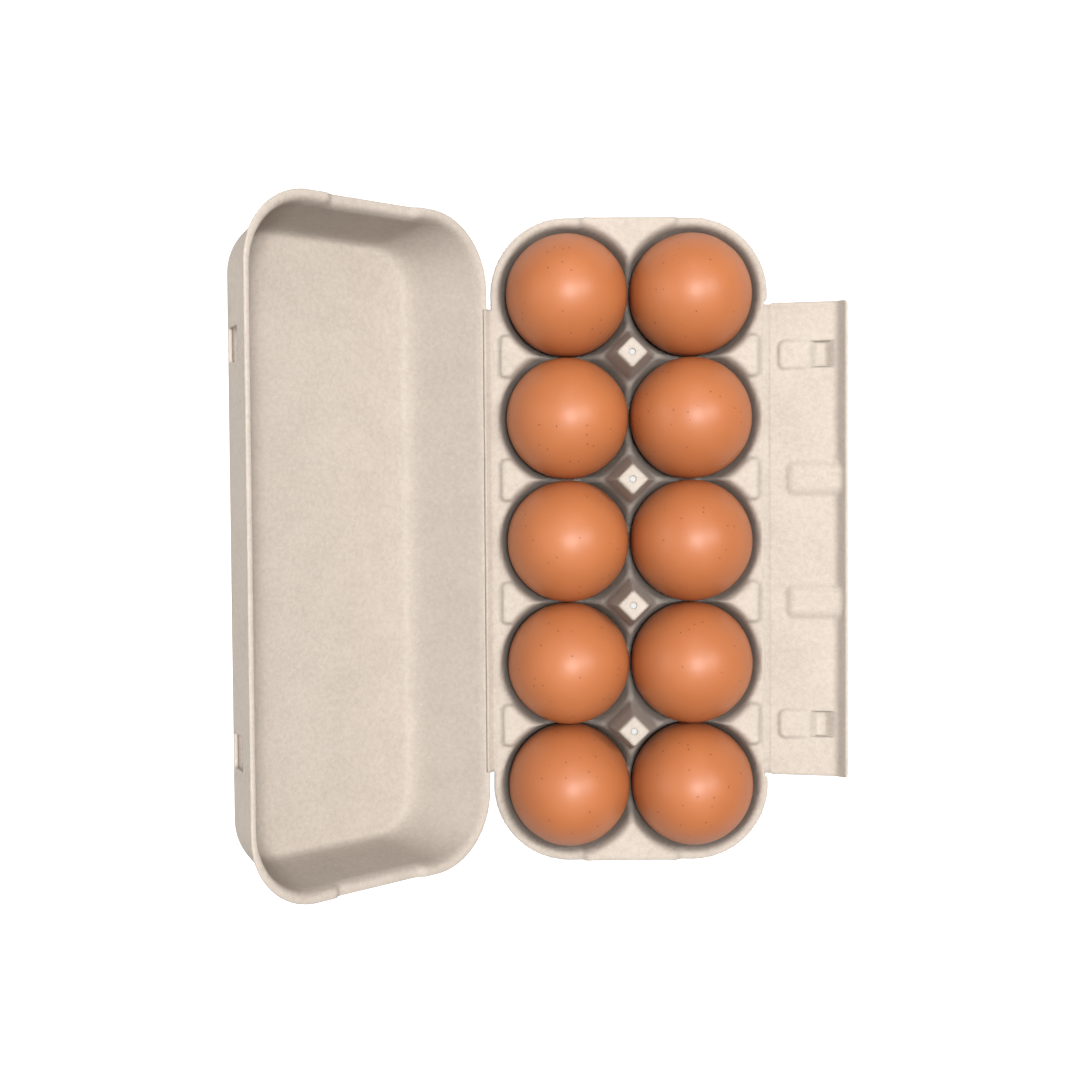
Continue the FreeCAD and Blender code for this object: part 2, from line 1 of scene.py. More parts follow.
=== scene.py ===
# %% [markdown]
# # An open pulp egg carton with its ten eggs
# The carton is one sheet of moulded paper pulp, pressed into a tray, a lid and a lock flap. The packed
# CAD model gives every size and place. This lesson builds the soft, drawn shapes that a mould gives the
# sheet, lays eggs in the cells, and gives pulp and shell their finishes.

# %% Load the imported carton
import json
import math

import bpy
import numpy as np
from mathutils import Matrix, Vector


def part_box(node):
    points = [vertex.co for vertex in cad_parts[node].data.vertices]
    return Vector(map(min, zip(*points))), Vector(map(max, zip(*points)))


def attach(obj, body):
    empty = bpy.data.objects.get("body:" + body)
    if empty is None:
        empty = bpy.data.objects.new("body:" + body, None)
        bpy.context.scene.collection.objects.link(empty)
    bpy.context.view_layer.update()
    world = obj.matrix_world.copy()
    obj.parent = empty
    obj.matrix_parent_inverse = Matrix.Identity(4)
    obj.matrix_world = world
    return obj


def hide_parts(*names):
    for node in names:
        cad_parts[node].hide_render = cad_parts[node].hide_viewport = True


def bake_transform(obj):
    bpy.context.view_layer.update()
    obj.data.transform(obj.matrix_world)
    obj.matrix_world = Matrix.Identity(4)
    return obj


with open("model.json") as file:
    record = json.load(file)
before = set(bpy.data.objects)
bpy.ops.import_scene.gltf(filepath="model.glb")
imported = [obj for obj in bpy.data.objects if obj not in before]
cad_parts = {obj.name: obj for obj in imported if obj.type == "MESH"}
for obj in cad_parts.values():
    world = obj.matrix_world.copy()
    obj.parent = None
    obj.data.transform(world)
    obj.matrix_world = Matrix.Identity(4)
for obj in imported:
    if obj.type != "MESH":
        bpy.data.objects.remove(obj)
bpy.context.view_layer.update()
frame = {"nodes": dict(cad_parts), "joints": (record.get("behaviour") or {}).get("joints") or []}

joints = {joint["name"]: joint for joint in frame["joints"]}

# %% [markdown]
# ## Sizes
# Everything below is worked out in millimetres, from the boxes of the CAD nodes and the places of the
# joints. Only the small details of the mould, such as a draft or a bend, are numbers of their own.

# %% Read the sizes from the frame
MM = 0.001


def box_mm(node):
    """Lowest and highest corners of a CAD node, in millimetres."""
    low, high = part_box(node)
    return Vector(low) / MM, Vector(high) / MM


tray_low, tray_high = box_mm("tray")
egg_low, egg_high = box_mm("egg_front_3")
next_low = box_mm("egg_front_4")[0]
back_low = box_mm("egg_back_3")[0]
MIDDLE = (tray_low.x + tray_high.x) / 2
HALF_WIDTH = (tray_high.x - tray_low.x) / 2
HALF_LENGTH = (tray_high.y - tray_low.y) / 2
ROW_PITCH = next_low.y - egg_low.y
COLUMN_PITCH = egg_low.x - back_low.x
POST_RISE = 18.3
DECK = tray_high.z - POST_RISE
WALL = 1.5
CORNER = HALF_LENGTH - 2 * ROW_PITCH
LID_AXIS = Vector(joints["lid_fold"]["pos_m"]) / MM
FLAP_AXIS = Vector(joints["flap_fold"]["pos_m"]) / MM
LID_TILT = math.radians(joints["lid_fold"]["range_deg"][1])
print(f"deck {DECK:.1f} mm up, cells {ROW_PITCH:.1f} x {COLUMN_PITCH:.1f} mm apart")

# %% [markdown]
# ## A moulded sheet
# Pulp is drawn from a slurry on to a mesh mould, so every piece is a sheet of even thickness with drafted
# walls and soft bends. Each can be written as a height over a plan. A plain grid would stretch on steep
# walls, so the grid's points are pulled towards the long edges until they are spread evenly over the
# surface. The sheet is then given its thickness, and a round edge all the way round.

# %% Soft joins between surfaces
def soft_min(a, b, blend):
    """The lower of two heights, with a soft bend where they meet."""
    share = np.clip(0.5 + 0.5 * (b - a) / blend, 0, 1)
    return b * (1 - share) + a * share - blend * share * (1 - share)


def soft_max(a, b, blend):
    """The higher of two heights, with a soft bend where they meet."""
    return -soft_min(-a, -b, blend)


def grid_lines(low, high, step, fine_step, fine_places=(), reach=0):
    """Grid lines from low to high, closer together within reach of some places."""
    lines = [low]
    while lines[-1] < high:
        near = any(abs(lines[-1] - spot) < reach for spot in fine_places)
        lines.append(lines[-1] + (fine_step if near else step))
    return np.array(lines)


def rounded_rectangle(x, y, half_x, half_y, radius):
    """Distance outside a rectangle with round corners; negative inside."""
    over_x = np.abs(x) - half_x + radius
    over_y = np.abs(y) - half_y + radius
    outside = np.hypot(np.maximum(over_x, 0), np.maximum(over_y, 0))
    return outside + np.minimum(np.maximum(over_x, over_y), 0) - radius


# %% Spread a grid over a surface
SLOPE_STEP = 0.05


def slopes(function, x, y):
    """How fast a function of the plan changes along x and along y."""
    step = SLOPE_STEP
    along_x = (function(x + step, y) - function(x - step, y)) / (2 * step)
    along_y = (function(x, y + step) - function(x, y - step)) / (2 * step)
    return along_x, along_y


def steepness(height, x, y):
    """How far a surface leans from level, from 0 to 1."""
    slope_x, slope_y = slopes(height, x, y)
    return 1 - 1 / np.sqrt(1 + slope_x**2 + slope_y**2)


def onto_outline(plan, outline):
    """Move points of the plan straight on to the outline."""
    for _ in range(3):
        away = outline(plan[:, 0], plan[:, 1])
        slope_x, slope_y = slopes(outline, plan[:, 0], plan[:, 1])
        steep = np.maximum(slope_x**2 + slope_y**2, 0.2)
        plan = plan - (away / steep)[:, None] * np.stack([slope_x, slope_y], 1)
    return plan


def weighted_mean(plan, pairs, weight, count):
    """Mean of each point's neighbours, and where it has any."""
    total = np.zeros((count, 2))
    share = np.zeros(count)
    for here, there in (pairs.T, pairs[:, ::-1].T):
        share += np.bincount(here, weight, count)
        for axis in range(2):
            total[:, axis] += np.bincount(here, weight * plan[there, axis], count)
    found = share > 0
    total[found] /= share[found, None]
    total[~found] = plan[~found]
    return total


def spread_grid(lines_x, lines_y, height, outline, rounds):
    """A grid inside the outline, its points spread evenly over the surface: plan, quads, edge pairs."""
    grid_x, grid_y = np.meshgrid(lines_x, lines_y, indexing="ij")
    index = np.arange(grid_x.size).reshape(grid_x.shape)
    corners = [index[:-1, :-1], index[1:, :-1], index[1:, 1:], index[:-1, 1:]]
    quads = np.stack(corners, -1).reshape(-1, 4)
    plan = np.stack([grid_x.ravel(), grid_y.ravel()], 1)
    middles = plan[quads].mean(1)
    quads = quads[outline(middles[:, 0], middles[:, 1]) < 0]
    used, quads = np.unique(quads, return_inverse=True)
    quads = quads.reshape(-1, 4)
    plan = plan[used]
    count = len(plan)
    sides = np.concatenate([quads[:, [a, (a + 1) % 4]] for a in range(4)])
    pairs, first, times = np.unique(np.sort(sides, 1), axis=0, return_index=True, return_counts=True)
    rim = sides[first[times == 1]]
    on_rim = np.zeros(count, bool)
    on_rim[rim] = True
    plan[on_rim] = onto_outline(plan[on_rim], outline)
    for _ in range(rounds):
        solid = np.column_stack([plan, height(plan[:, 0], plan[:, 1])])
        length = np.linalg.norm(solid[pairs[:, 0]] - solid[pairs[:, 1]], axis=1)
        moved = weighted_mean(plan, pairs, length, count)
        rim_length = np.linalg.norm(solid[rim[:, 0]] - solid[rim[:, 1]], axis=1)
        rim_moved = weighted_mean(plan, rim, rim_length, count)
        moved[on_rim] = rim_moved[on_rim]
        plan = 0.5 * (plan + moved)
        plan[on_rim] = onto_outline(plan[on_rim], outline)
    return plan, quads, rim


# %% Give the sheet its thickness and a round edge
RIM_STEPS = 3
RIM_BULGE = 0.8
NORMAL_ROUNDS = 2


def moulded_sheet(
    name, lines_x, lines_y, height, outline, thickness, side, to_frame, rounds=50, shade=None
):
    """A mesh of a sheet whose face is the height; side -1 puts the thickness below it, and 1 above.

    The painted shade, from 0 to 1, is kept as a point attribute, which darkens the pulp's colour.
    """
    plan, quads, rim = spread_grid(lines_x, lines_y, height, outline, rounds)
    x, y = plan.T
    face = np.column_stack([x, y, height(x, y)])
    slope_x, slope_y = slopes(height, x, y)
    normal = np.column_stack([-slope_x, -slope_y, np.ones(len(x))])
    normal /= np.linalg.norm(normal, axis=1)[:, None]
    for _ in range(NORMAL_ROUNDS):
        total = normal.copy()
        for corner in range(4):
            np.add.at(total, quads[:, corner], normal[quads[:, (corner + 1) % 4]])
        normal = total / np.linalg.norm(total, axis=1)[:, None]
    other = face + side * thickness * normal
    count = len(face)
    following = np.full(count, -1)
    following[rim[:, 0]] = rim[:, 1]
    before = np.full(count, -1)
    before[rim[:, 1]] = rim[:, 0]
    rim_points = rim[:, 0]
    along = face[following[rim_points]] - face[before[rim_points]]
    outward = np.cross(along, normal[rim_points])
    outward /= np.linalg.norm(outward, axis=1)[:, None]
    centre = (face[rim_points] + other[rim_points]) / 2
    across = face[rim_points] - centre
    rings = [rim_points]
    points = [face, other]
    total = 2 * count
    for step in range(1, RIM_STEPS + 1):
        angle = math.pi * step / (RIM_STEPS + 1)
        bulge = outward * thickness / 2 * RIM_BULGE * math.sin(angle)
        points.append(centre + across * math.cos(angle) + bulge)
        ring = np.full(count, -1)
        ring[rim_points] = total + np.arange(len(rim_points))
        rings.append(ring[rim_points])
        total += len(rim_points)
    rings.append(rim_points + count)
    place = np.full(count, -1)
    place[rim_points] = np.arange(len(rim_points))
    after = place[following[rim_points]]
    faces = [quads, quads[:, ::-1] + count]
    for inner, outer in zip(rings, rings[1:]):
        faces.append(np.column_stack([inner[after], inner, outer, outer[after]]))
    faces = np.concatenate(faces)
    if side > 0:
        faces = faces[:, ::-1]
    solid = to_frame(np.concatenate(points)) * MM
    mesh = bpy.data.meshes.new(name)
    mesh.from_pydata(solid.tolist(), [], faces.tolist())
    mesh.update()
    mesh.shade_smooth()
    # Painted shade, kept on the points of the face; the other points get none.
    painted_shade = mesh.attributes.new("painted_shade", "FLOAT", "POINT")
    darker = np.zeros(len(solid), np.float32)
    if shade is not None:
        darker[:count] = shade(x, y)
    painted_shade.data.foreach_set("value", darker)
    piece = bpy.data.objects.new(name, mesh)
    bpy.context.scene.collection.objects.link(piece)
    print(f"{name}: {len(faces)} faces")
    return piece


RIM_INSET = WALL / 2 * RIM_BULGE

# %% [markdown]
# ## The tray
# Ten cells follow the eggs' own outline with a little room. Where two cells meet, the sheet folds over into
# a partition that dips between the posts, and where four meet, a diamond-shaped post carries the lid.
# Raised pads between the cells stiffen the two long sides, and a raised deck stiffens each end.

# %% The tray's surface
CELL_RADII = (0, 11.0, 18.72, 21.73, 23.33, 26.0, 27.5, 33.0)
CELL_HEIGHTS = (-37.5, -37.5, -24.0, -17.0, -10.0, 0.0, 2.2, 12.0)
PAD_RISE = 1.8
PAD_FOOT = HALF_WIDTH - 2.8
PAD_SLOPE = 1.7
PAD_HALF = 8.4
END_HALF = 18.7
END_RUN = 1.4
POST_HALF = 5.7
POST_FLARE = 4.1
POST_HOLE = 1.05
CREST_DROP = 12.0
CREST_HALF = 5.0
CREST_TOP = 1.5
FAR = 99.0
PAD_CORNER = 2.2
FLAP_GAP = 0.35
# Painted shade: where it begins in the cells and on the posts, and how strongly slopes are darkened.
CELL_SHADE_TOP, CELL_SHADE_RUN = 0.2, 3.0
POST_SHADE_TOP, POST_SHADE_RUN = 0.5, 1.5
SLOPE_SHADE, SLOPE_SHADE_MOST = 1.1, 0.5
flap_low, flap_high = box_mm("lock_flap")
FLAP_HALF = (flap_high.y - flap_low.y) / 2
FOLD_EDGE = FLAP_AXIS.x - MIDDLE - 1.4


def cell_wall(radius):
    """Height of a cell's wall at a distance from its middle, its rings run together softly."""
    spread = 0.4
    total = 0
    for step, share in ((-1, 0.25), (0, 0.5), (1, 0.25)):
        total = total + share * np.interp(radius + step * spread, CELL_RADII, CELL_HEIGHTS)
    return total


def nearest_post(y):
    """How far a place is from the middle of the nearest post, along the rows."""
    return y - ROW_PITCH * (np.clip(np.round(y / ROW_PITCH - 0.5), -2, 1) + 0.5)


def crest_slope(along, reach):
    """A partition's crest: low in the middle and rising to its two ends."""
    rise = (CREST_DROP + CREST_TOP) / (reach - CREST_HALF)
    return -CREST_DROP + np.maximum(along - CREST_HALF, 0) * rise


def tray_height(x, y):
    """Height of the tray's upper face above the deck, over its plan about the tray's middle."""
    side = np.abs(x) - COLUMN_PITCH / 2
    along = y - ROW_PITCH * np.clip(np.round(y / ROW_PITCH), -2, 2)
    to_post = np.abs(nearest_post(y))
    inner = COLUMN_PITCH / 2
    from_pad = np.abs(x) - (PAD_FOOT + inner) / 2
    plan = rounded_rectangle(from_pad, to_post, (PAD_FOOT - inner) / 2, PAD_HALF, PAD_CORNER)
    pad = soft_min(-plan * PAD_RISE / PAD_SLOPE * 1.5, PAD_RISE + 0 * x, 0.6)
    pad = np.where(np.abs(x) > COLUMN_PITCH / 2, pad, -1)
    ramp = np.clip((END_HALF + END_RUN / 2 - np.abs(x)) / END_RUN / 2, 0, 1)
    end = ramp * ramp * (3 - 2 * ramp) * PAD_RISE
    end = np.where(np.abs(y) > 2 * ROW_PITCH, end, 0)
    top = soft_max(pad, end, 0.5)
    body = soft_min(top, cell_wall(np.hypot(side, along)), 1.2)
    ridge = POST_HALF + POST_FLARE
    rows = crest_slope(np.abs(along), ROW_PITCH / 2 - ridge)
    rows = np.where(np.abs(x) < COLUMN_PITCH / 4, rows, FAR)
    pad_tip = math.sqrt(CELL_RADII[5] ** 2 - ROW_PITCH**2 / 4)
    crest = crest_slope(np.abs(side), np.where(side > 0, pad_tip, COLUMN_PITCH / 2 - ridge))
    crest = np.where(to_post < ROW_PITCH / 6, crest, FAR)
    body = soft_min(body, np.minimum(rows, crest), 1.6)
    post = POST_RISE + (POST_HALF - np.abs(x) - to_post) * POST_RISE / POST_FLARE
    post = soft_min(post, POST_RISE + 0 * x, 1.3)
    return soft_max(body, post, 1.2)


def tray_outline(x, y):
    """Distance outside the tray's edge, its fold side trimmed back, and its post holes cut out."""
    edge = rounded_rectangle(x, y, HALF_WIDTH - RIM_INSET, HALF_LENGTH - RIM_INSET, CORNER - RIM_INSET)
    trim = np.minimum(x - (FOLD_EDGE - RIM_INSET), FLAP_HALF + FLAP_GAP + RIM_INSET - np.abs(y))
    hole = POST_HOLE + RIM_INSET - np.hypot(x, nearest_post(y))
    return np.maximum(np.maximum(edge, trim), hole)


post_places = [(step - 1.5) * ROW_PITCH for step in range(4)]


def tray_painted_shade(x, y):
    """How much shade is painted on a place, from 0 to 1: in the cells, on the posts and on other slopes."""
    level = tray_height(x, y)
    sunk = np.clip((CELL_SHADE_TOP - level) / CELL_SHADE_RUN, 0, 1)
    between = (np.abs(x) < COLUMN_PITCH / 4) & (np.abs(nearest_post(y)) < ROW_PITCH / 4)
    face = np.clip((POST_RISE - POST_SHADE_TOP - level) / POST_SHADE_RUN, 0, 1) * between
    face = face * (np.abs(y) < 2 * ROW_PITCH)
    slope = np.minimum(SLOPE_SHADE * steepness(tray_height, x, y), SLOPE_SHADE_MOST)
    return np.maximum(np.maximum(sunk, face), slope)


def tray_to_frame(points):
    """From the tray's own plan to the frame."""
    return points + np.array([MIDDLE, 0, DECK])


tray = moulded_sheet(
    "tray_pulp",
    grid_lines(-HALF_WIDTH, HALF_WIDTH, 0.95, 0.5, [0], 8),
    grid_lines(-HALF_LENGTH, HALF_LENGTH, 0.95, 0.5, post_places, 8),
    tray_height, tray_outline, WALL, -1, tray_to_frame, shade=tray_painted_shade,
)

# %% [markdown]
# ## The lid
# The lid is drawn over a deeper mould. Its walls lean in by a different draft on each side and its corners
# get tighter towards the ceiling, so the wall's height at a place is found by halving steps: the highest
# level whose outline still holds that place. A narrow lip runs round the rim, with a shallow notch at
# each end for the tray's raised decks, and two latch holes go through the front wall.

# %% The lid's surface, drawn shut, with the hinge line at zero
LID_WALL = 1.4
LID_DEPTH = 31.5
LID_BACK = 0.9
FRONT_DRAFT, BACK_DRAFT, END_DRAFT = (math.radians(angle) for angle in (20.2, 23.1, 12.4))
LIP_FRONT = 0.75
LIP_END = 2.1
RIM_CORNER = 26.0
CEILING_CORNER = 18.0
NOTCH_RISE = 1.9
lid_low, lid_high = box_mm("lid")
LID_END = (lid_high.y - lid_low.y) / 2 - LIP_END
LID_FRONT = (lid_high.z - LID_AXIS.z) / math.sin(LID_TILT) - LIP_FRONT
HINGE_OUT = MIDDLE - LID_AXIS.x
LATCH_PLACE = 1.5 * ROW_PITCH
LATCH_HALF = 5.9
LATCH_LEVELS = (13.7, 26.5)
# Painted shade on the lid's steep walls.
LID_SHADE = 0.5


def wall_at(level, draft):
    """How far a wall's inner face is inside the rim's outline at a level."""
    return LID_WALL / math.cos(draft) + level * math.tan(draft)


def lid_section(x, y, level):
    """Distance outside the lid's inner face at a level."""
    low = LID_BACK + LID_WALL / math.cos(BACK_DRAFT) + level * math.tan(BACK_DRAFT)
    high = LID_FRONT - LID_WALL / math.cos(FRONT_DRAFT) - level * math.tan(FRONT_DRAFT)
    half_y = LID_END - LID_WALL / math.cos(END_DRAFT) - level * math.tan(END_DRAFT)
    radius = RIM_CORNER - (RIM_CORNER - CEILING_CORNER) * level / LID_DEPTH - LID_WALL
    return rounded_rectangle(x - (low + high) / 2, y, (high - low) / 2, half_y, radius)


def lid_height(x, y):
    """Height of the lid's inner face above the rim plane."""
    low = np.full(np.shape(x), -6.0)
    high = np.full(np.shape(x), LID_DEPTH + 8)
    for _ in range(18):
        level = (low + high) / 2
        inside = lid_section(x, y, level) < 0
        low = np.where(inside, level, low)
        high = np.where(inside, high, level)
    wall = soft_min(low, LID_DEPTH - LID_WALL + 0 * x, 7.0)
    from_middle = np.abs(x - HINGE_OUT)
    notch = np.clip((END_HALF + 2.2 - from_middle) / 3.4, 0, 1)
    notch = notch * notch * (3 - 2 * notch)
    notch = notch * np.clip((np.abs(y) - LID_END + 12) / 4, 0, 1) * NOTCH_RISE
    return soft_max(wall, notch, 2.2)


def lid_outline(x, y):
    """Distance outside the lid's lip, with the latch holes cut out."""
    high = LID_FRONT + LIP_FRONT - RIM_INSET
    low = LID_BACK + RIM_INSET
    half_y = LID_END + LIP_END - RIM_INSET
    edge = rounded_rectangle(x - (low + high) / 2, y, (high - low) / 2, half_y, RIM_CORNER)
    near, far = (LID_FRONT - wall_at(level, FRONT_DRAFT) for level in LATCH_LEVELS)
    reach_up = (near - far) / math.sin(FRONT_DRAFT) / 2 - 0.2
    up = (x - (near + far) / 2) / math.sin(FRONT_DRAFT)
    hole = rounded_rectangle(
        up, np.abs(y) - LATCH_PLACE, reach_up + RIM_INSET, LATCH_HALF + RIM_INSET, 1.6
    )
    return np.maximum(edge, -hole)


def lid_painted_shade(x, y):
    """How much shade is painted on a place inside the lid, more on its steep walls."""
    return LID_SHADE * steepness(lid_height, x, y)


def lid_to_frame(points):
    """From the shut lid to the open one."""
    along, across, up = points.T
    x = LID_AXIS.x - math.cos(LID_TILT) * along - math.sin(LID_TILT) * up
    z = LID_AXIS.z + math.sin(LID_TILT) * along - math.cos(LID_TILT) * up
    return np.column_stack([x, across, z])


lid = moulded_sheet(
    "lid_pulp",
    grid_lines(LID_BACK, LID_FRONT + LIP_FRONT, 1.0, 0.55, [LID_FRONT - 5], 9),
    grid_lines(-LID_END - LIP_END, LID_END + LIP_END, 1.1, 0.7, [-LATCH_PLACE, LATCH_PLACE], 9),
    lid_height, lid_outline, LID_WALL, 1, lid_to_frame, shade=lid_painted_shade,
)

# %% [markdown]
# ## The lock flap
# A flat panel with a turned-up lip. Each lock button is pressed downwards, so from above it is a pocket
# with two slopes and a floor, and a low scoop leads into it from the fold. Two raised pads near the
# middle stop the flap from curling.

# %% The flap's surface, drawn level, with the fold line at zero
FLAP_WALL = 1.2
FLAP_TILT = math.radians(13.0)
FLAP_ROOT = 0.95
LIP_FOOT = 25.9
LIP_TURN = math.radians(39.0)
FLAP_REACH = LIP_FOOT + 4.9 * math.cos(LIP_TURN)
BUTTON_NEAR, BUTTON_FAR = 16.4, 25.2
BUTTON_DEEP = 2.4
BUTTON_HALF = 4.95
SCOOP_NEAR, SCOOP_HALF, SCOOP_RISE = 4.1, 6.0, 1.4
STIFFENER_NEAR, STIFFENER_HALF, STIFFENER_RISE = 7.1, 6.6, 1.5
SCOOP_CORNER, STIFFENER_CORNER = 3.2, 3.4
# Painted shade on the lip and on the flap's slopes.
LIP_SHADE, FLAP_SHADE, FLAP_SHADE_MOST = 2.6, 1.0, 0.6


def flap_height(x, y):
    """Height of the flap's upper face above the fold line."""
    to_button = np.abs(np.abs(y) - LATCH_PLACE)
    to_stiffener = np.abs(np.abs(y) - ROW_PITCH / 2)
    lip = (x - LIP_FOOT) * math.tan(LIP_TURN)
    level = 0 * x
    scoop_top = SCOOP_RISE - (x - SCOOP_NEAR) * 0.09
    reach = (BUTTON_NEAR + 4 - SCOOP_NEAR) / 2
    taper = SCOOP_HALF - 0.06 * (x - SCOOP_NEAR)
    scoop_sides = -1.2 * rounded_rectangle(x - SCOOP_NEAR - reach, to_button, reach, taper, SCOOP_CORNER)
    scoop = soft_min(np.minimum(scoop_sides, (BUTTON_NEAR + 0.6 - x) * 3), scoop_top, 1.1)
    reach = (LIP_FOOT + 8 - STIFFENER_NEAR) / 2
    along = x - STIFFENER_NEAR - reach
    plan = rounded_rectangle(along, to_stiffener, reach, STIFFENER_HALF, STIFFENER_CORNER)
    stiffener = soft_min(-0.7 * plan, STIFFENER_RISE + level, 1.3)
    stiffener = np.where(x < LIP_FOOT + 3, stiffener, -1)
    raised = soft_max(soft_max(scoop, stiffener, 0.1), level, 0.6)
    pocket = np.maximum((BUTTON_NEAR - x) * 0.95, (x - BUTTON_FAR) * 0.75)
    pocket = soft_max(pocket, -BUTTON_DEEP + level, 0.7)
    pocket = soft_max(pocket, (to_button - BUTTON_HALF) * 5, 0.5)
    pocket = np.where((to_button < BUTTON_HALF + 1.5), pocket, FAR)
    face = soft_min(raised, pocket, 0.7)
    return FLAP_WALL / 2 + soft_max(face, lip, 1.2)


def flap_outline(x, y):
    """Distance outside the flap's edge."""
    inset = FLAP_WALL / 2 * RIM_BULGE
    low = FLAP_ROOT + inset
    high = FLAP_REACH - inset * 0.4
    return rounded_rectangle(x - (low + high) / 2, y, (high - low) / 2, FLAP_HALF - inset, 0.8)


def flap_painted_shade(x, y):
    """How much shade is painted on a place on the flap, most on its lip."""
    strength = np.where(x > LIP_FOOT - 1, LIP_SHADE, FLAP_SHADE)
    return np.minimum(strength * steepness(flap_height, x, y), FLAP_SHADE_MOST)


def flap_to_frame(points):
    """From the level flap to its open place."""
    along, across, up = points.T
    x = FLAP_AXIS.x + math.cos(FLAP_TILT) * along - math.sin(FLAP_TILT) * up
    z = FLAP_AXIS.z + math.sin(FLAP_TILT) * along + math.cos(FLAP_TILT) * up
    return np.column_stack([x, across, z])


detail_places = [-LATCH_PLACE, -ROW_PITCH / 2, ROW_PITCH / 2, LATCH_PLACE]
flap = moulded_sheet(
    "flap_pulp",
    grid_lines(FLAP_ROOT, FLAP_REACH, 0.5, 0.5),
    grid_lines(-FLAP_HALF, FLAP_HALF, 0.8, 0.42, detail_places, 9),
    flap_height, flap_outline, FLAP_WALL, -1, flap_to_frame, rounds=25, shade=flap_painted_shade,
)

# %% [markdown]
# ## The two folds
# The tray, the lid and the flap are joined by thin lines of the same pulp. Each is drawn as a narrow strip
# that starts in the edge of the tray and ends in the edge of the piece that turns.

# %% Strips along a fold
STRIP_STEPS = 10
STRIP_ROWS = 121
STRIP_SHADE = 0.15


def fold_strip(name, line, half_length, thickness):
    """A strip along Y whose cross section follows a line of (x, z) places."""
    line = np.array(line, float)
    places = np.linspace(0, len(line) - 1, STRIP_STEPS + 1)
    x = np.interp(places, range(len(line)), line[:, 0])
    z = np.interp(places, range(len(line)), line[:, 1])
    for _ in range(2):
        x[1:-1] = (x[:-2] + 2 * x[1:-1] + x[2:]) / 4
        z[1:-1] = (z[:-2] + 2 * z[1:-1] + z[2:]) / 4
    run_x, run_z = np.gradient(x), np.gradient(z)
    size = np.hypot(run_x, run_z)
    upper = np.column_stack([x - run_z / size * thickness / 2, z + run_x / size * thickness / 2])
    lower = np.column_stack([x + run_z / size * thickness / 2, z - run_x / size * thickness / 2])
    loop = np.concatenate([upper, lower[::-1]])
    lengths = np.linspace(-half_length, half_length, STRIP_ROWS)
    around = len(loop)
    points = [(px * MM, y * MM, pz * MM) for y in lengths for px, pz in loop]
    faces = []
    for row in range(len(lengths) - 1):
        for step in range(around):
            here, there = row * around + step, row * around + (step + 1) % around
            faces.append((here, here + around, there + around, there))
    faces.append(tuple(range(around)))
    faces.append(tuple(range((len(lengths) - 1) * around, len(lengths) * around))[::-1])
    mesh = bpy.data.meshes.new(name)
    mesh.from_pydata(points, [], faces)
    mesh.shade_smooth()
    # Painted shade: the strip is a little darker all over, for the shade in the fold.
    painted_shade = mesh.attributes.new("painted_shade", "FLOAT", "POINT")
    painted_shade.data.foreach_set("value", np.full(len(points), STRIP_SHADE, np.float32))
    piece = bpy.data.objects.new(name, mesh)
    bpy.context.scene.collection.objects.link(piece)
    return piece


def from_fold(axis, distance, turn):
    """A place at a distance from a fold line, in the direction of a turn above +X."""
    return axis.x + distance * math.cos(turn), axis.z + distance * math.sin(turn)


web_low, web_high = box_mm("lid_hinge")
HINGE_HALF = (web_high.y - web_low.y) / 2
tray_back = MIDDLE - HALF_WIDTH
lid_strip = fold_strip(
    "lid_fold_pulp",
    [
        (tray_back + 1.0, DECK - 0.75),
        (tray_back - 0.2, DECK - 0.6),
        (LID_AXIS.x, LID_AXIS.z - 0.2),
        from_fold(LID_AXIS, 0.9, math.pi - LID_TILT),
        from_fold(LID_AXIS, 2.2, math.pi - LID_TILT),
    ],
    HINGE_HALF, 1.1,
)
flap_strip = fold_strip(
    "flap_fold_pulp",
    [
        (MIDDLE + FOLD_EDGE - 1.0, DECK - 0.75),
        (MIDDLE + FOLD_EDGE + 0.2, DECK - 0.9),
        (FLAP_AXIS.x, FLAP_AXIS.z - 0.1),
        from_fold(FLAP_AXIS, 1.2, FLAP_TILT),
        from_fold(FLAP_AXIS, 2.2, FLAP_TILT),
    ],
    FLAP_HALF - 0.5, 1.0,
)

# %% [markdown]
# ## Nodes written as sums
# Shapes and finishes are both built from nodes. This small class wraps a socket, so that a sum on values
# adds its own Math nodes, and any other node comes from one method of the bench.

# %% A bench for nodes
class Wire:
    """A socket that can be used in sums."""

    def __init__(self, bench, socket):
        self.bench = bench
        self.socket = socket

    def _sum(self, operation, first, second):
        return self.bench.node("ShaderNodeMath", {"operation": operation}, {0: first, 1: second})

    def __add__(self, other):
        return self._sum("ADD", self, other)

    def __radd__(self, other):
        return self._sum("ADD", other, self)

    def __sub__(self, other):
        return self._sum("SUBTRACT", self, other)

    def __rsub__(self, other):
        return self._sum("SUBTRACT", other, self)

    def __mul__(self, other):
        return self._sum("MULTIPLY", self, other)

    def __rmul__(self, other):
        return self._sum("MULTIPLY", other, self)

    def __lt__(self, other):
        return self._sum("LESS_THAN", self, other)

    def __gt__(self, other):
        return self._sum("GREATER_THAN", self, other)


class Bench:
    """Adds nodes to a tree."""

    def __init__(self, tree):
        self.tree = tree

    def node(self, kind, settings=None, values=None, out=0):
        """A node with its settings, then the values or links of its sockets; gives one output."""
        node = self.tree.nodes.new(kind)
        for name, value in (settings or {}).items():
            setattr(node, name, value)
        for name, value in (values or {}).items():
            if isinstance(value, Wire):
                self.tree.links.new(value.socket, node.inputs[name])
            else:
                node.inputs[name].default_value = value
        return Wire(self, node.outputs[out])


# %% [markdown]
# ## Pulp
# Dry pulp is a pale warm grey-beige with a matte, felted face: soft clouds where the slurry was thicker,
# a finer mottle, short fibres and a few darker flecks. Colour follows the mottle, and a bump gives
# the felted grain. Shade is also painted into the colour, a dark grey in the cells, on the posts
# and on slopes, read from the sheet's own attribute.

